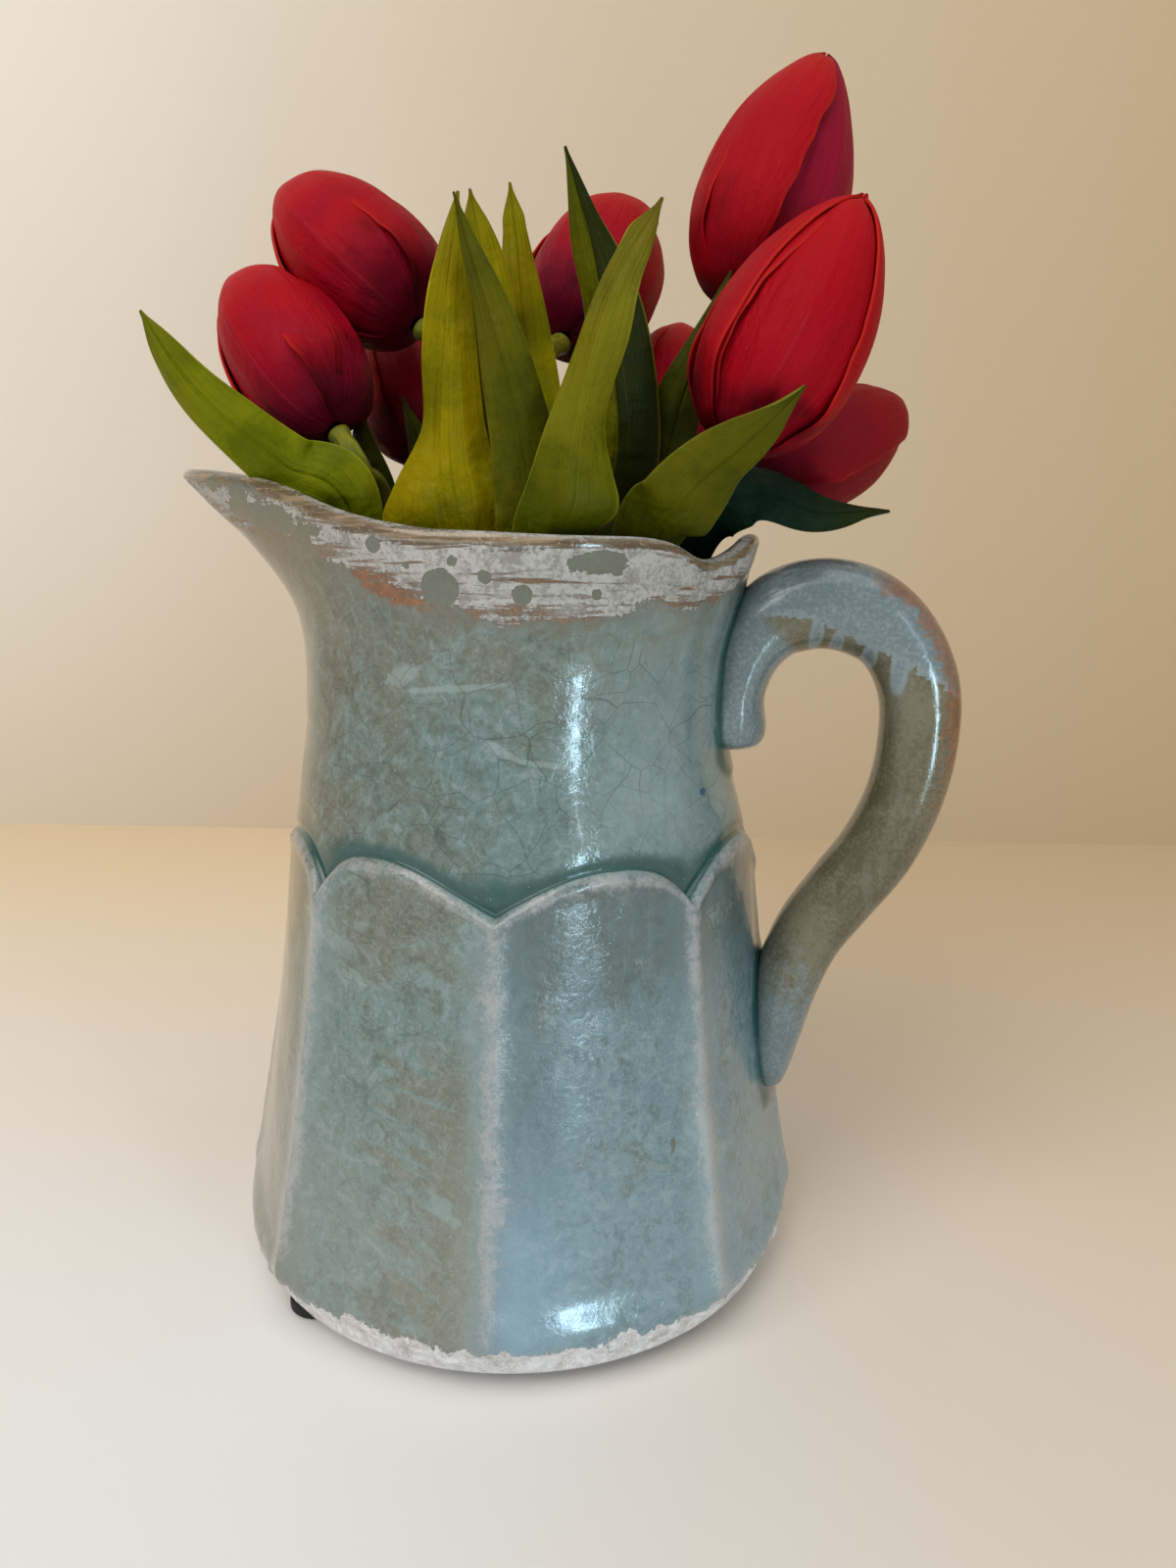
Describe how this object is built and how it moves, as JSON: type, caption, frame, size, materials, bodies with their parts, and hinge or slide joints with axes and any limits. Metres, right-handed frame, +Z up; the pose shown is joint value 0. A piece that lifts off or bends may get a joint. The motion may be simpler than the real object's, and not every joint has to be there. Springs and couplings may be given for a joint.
{
  "type": "tulips in a jug",
  "caption": "Red tulips with green leaves standing in a glazed octagonal pitcher with a pouring spout, a rolled handle and rubber feet",
  "frame": {"origin": "On the table, under the middle of the whole object's outline seen from above", "axes": "+Z up, +X towards the jug's handle, -X towards its spout, -Y towards the side that is seen from the front"},
  "size_m": [0.203, 0.152, 0.3144],
  "materials": {
    "glaze": "glossy crackled celadon glaze over terracotta, with a chalky worn lip",
    "rubber": "matte black",
    "petal": "soft satin",
    "stem": "satin",
    "leaf": "waxy satin"
  },
  "bodies": {
    "root": {"jug": "glaze", "rubber_pad_1": "rubber", "rubber_pad_2": "rubber", "rubber_pad_3": "rubber", "rubber_pad_4": "rubber", "tulip_1_stem": "stem", "tulip_1_outer_petals": "petal", "tulip_1_inner_petals": "petal", "tulip_2_stem": "stem", "tulip_2_outer_petals": "petal", "tulip_2_inner_petals": "petal", "tulip_3_stem": "stem", "tulip_3_outer_petals": "petal", "tulip_3_inner_petals": "petal", "tulip_4_stem": "stem", "tulip_4_outer_petals": "petal", "tulip_4_inner_petals": "petal", "tulip_5_stem": "stem", "tulip_5_outer_petals": "petal", "tulip_5_inner_petals": "petal", "tulip_6_stem": "stem", "tulip_6_outer_petals": "petal", "tulip_6_inner_petals": "petal", "tulip_7_stem": "stem", "tulip_7_outer_petals": "petal", "tulip_7_inner_petals": "petal", "tulip_8_stem": "stem", "tulip_8_outer_petals": "petal", "tulip_8_inner_petals": "petal", "leaf_01": "leaf", "leaf_02": "leaf", "leaf_03": "leaf", "leaf_04": "leaf", "leaf_05": "leaf", "leaf_06": "leaf", "leaf_07": "leaf", "leaf_08": "leaf", "leaf_09": "leaf", "leaf_10": "leaf", "leaf_11": "leaf", "leaf_12": "leaf", "leaf_13": "leaf", "leaf_14": "leaf", "leaf_15": "leaf", "leaf_16": "leaf", "leaf_17": "leaf"}
  },
  "joints": []
}
